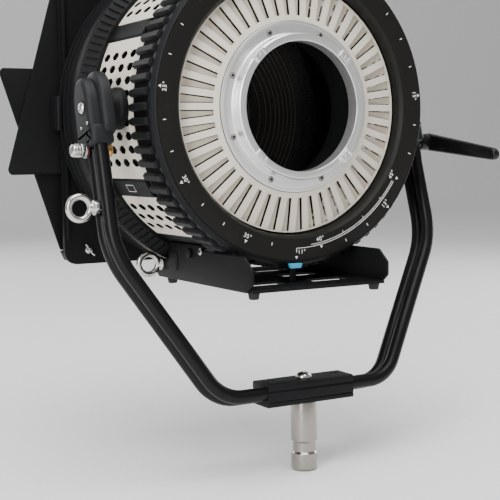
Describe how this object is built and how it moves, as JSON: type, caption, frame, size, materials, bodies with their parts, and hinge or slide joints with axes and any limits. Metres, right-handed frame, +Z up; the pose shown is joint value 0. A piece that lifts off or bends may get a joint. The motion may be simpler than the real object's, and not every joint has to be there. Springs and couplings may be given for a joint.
{
  "type": "fresnel spotlight",
  "caption": "Large yoke-mounted Fresnel spotlight head with a ribbed rear zoom ring, a bayonet module mount, a tilting twin-tube yoke on a stand spigot and closed barn doors.",
  "frame": {"origin": "centre of the lower end face of the stand spigot", "axes": "+Z up along the spigot; the light leaves along -Y; +X is the plunger side of the yoke, -X the tilt lever side"},
  "size_m": [0.496, 0.3036, 0.5825],
  "materials": {
    "black_paint": "satin black paint",
    "black_aluminium": "black powder coat on aluminium",
    "tube_paint": "semi-gloss black paint on steel tube",
    "black_plastic": "fine-textured moulding",
    "dial_grey": "dark grey satin, white printed scale",
    "sand": "sand-coloured powder coat on aluminium sheet",
    "white_metal": "pale satin anodised",
    "steel": "bright zinc plate",
    "brass": "plain",
    "red": "moulded",
    "blue": "moulded",
    "brown": "fibre washer",
    "rubber": "moulded",
    "glass": "clear, stepped back"
  },
  "bodies": {
    "yoke": {"spigot": "steel", "yoke_block": "black_aluminium", "block_dome_screw": "steel", "yoke_tube_left_front": "tube_paint", "yoke_tube_left_rear": "tube_paint", "yoke_tube_right_front": "tube_paint", "yoke_tube_right_rear": "tube_paint", "pivot_head_left": "black_plastic", "pivot_head_right": "black_plastic", "pivot_bolt_left": "steel", "pivot_bolt_right": "steel", "plunger_ring": "red", "plunger_body": "steel", "plunger_socket": "brass", "lever_washer": "brown", "yoke_eye_bolt": "steel", "yoke_eye_nut": "black_paint"},
    "plunger": {"plunger_knob": "steel"},
    "lever": {"tilt_lever": "black_plastic"},
    "head": {"front_housing": "black_aluminium", "lens_retainer": "black_aluminium", "fresnel_lens": "glass", "shell_left": "sand", "shell_right": "sand", "shell_top": "sand", "shell_lower_left": "sand", "shell_lower_right": "sand", "tie_band_upper_left": "black_aluminium", "tie_band_upper_right": "black_aluminium", "tie_band_lower_left": "black_aluminium", "tie_band_lower_right": "black_aluminium", "rear_support_ring": "black_aluminium", "hub_left": "black_aluminium", "hub_right": "black_aluminium", "base_left": "black_paint", "base_right": "black_paint", "base_bottom": "black_paint", "foot_left_rear": "rubber", "foot_left_front": "rubber", "foot_right_rear": "rubber", "foot_right_front": "rubber", "base_eye_bolt": "steel", "belly_cradle": "black_aluminium", "pointer_post": "black_aluminium", "index_pointer": "blue", "ear_left": "black_aluminium", "ear_right": "black_aluminium", "ear_bottom": "black_aluminium", "barn_frame": "black_aluminium", "frame_wing_screw": "steel", "hinge_rail_top": "black_paint", "hinge_rail_bottom": "black_paint"},
    "latch": {"top_latch": "steel"},
    "zoom_ring": {"zoom_grip": "black_plastic", "zoom_dial": "dial_grey"},
    "carriage": {"mount_flange": "white_metal", "carriage_sleeve": "black_aluminium", "rear_grille": "sand"},
    "upper_leaf": {"leaf_top": "black_aluminium"},
    "lower_leaf": {"leaf_bottom": "black_aluminium"}
  },
  "joints": [
    {"name": "tilt", "type": "hinge", "parent": "yoke", "child": "head", "pos_m": [0, -0.088, 0.3935], "axis": [1, 0, 0], "range_deg": [-60, 45]},
    {"name": "index_plunger", "type": "slide", "parent": "yoke", "child": "plunger", "axis": [1, 0, 0], "range_m": [0, 0.008], "stiffness_N_per_m": 400, "springref_m": -0.006},
    {"name": "tilt_lock", "type": "hinge", "parent": "yoke", "child": "lever", "pos_m": [-0.24, -0.08658, 0.355], "axis": [1, 0, 0], "range_deg": [-55, 40]},
    {"name": "zoom", "type": "hinge", "parent": "head", "child": "zoom_ring", "pos_m": [0, -0.03, 0.3935], "axis": [0, -1, 0], "range_deg": [0, 417]},
    {"name": "focus", "type": "slide", "parent": "head", "child": "carriage", "axis": [0, -1, 0], "range_m": [0, 0.08]},
    {"name": "accessory_latch", "type": "hinge", "parent": "head", "child": "latch", "pos_m": [0, -0.2265, 0.581], "axis": [-1, 0, 0], "range_deg": [0, 80]},
    {"name": "lower_leaf_hinge", "type": "hinge", "parent": "head", "child": "lower_leaf", "pos_m": [0, -0.26, 0.2265], "axis": [1, 0, 0], "range_deg": [0, 135]},
    {"name": "upper_leaf_hinge", "type": "hinge", "parent": "head", "child": "upper_leaf", "pos_m": [0, -0.254, 0.5605], "axis": [-1, 0, 0], "range_deg": [0, 45]}
  ],
  "couplings": [
    {"joint": "focus", "follows": "zoom", "m_per_rad": 0.010978},
    {"joint": "upper_leaf_hinge", "follows": "lower_leaf_hinge", "ratio": 0.33333}
  ]
}
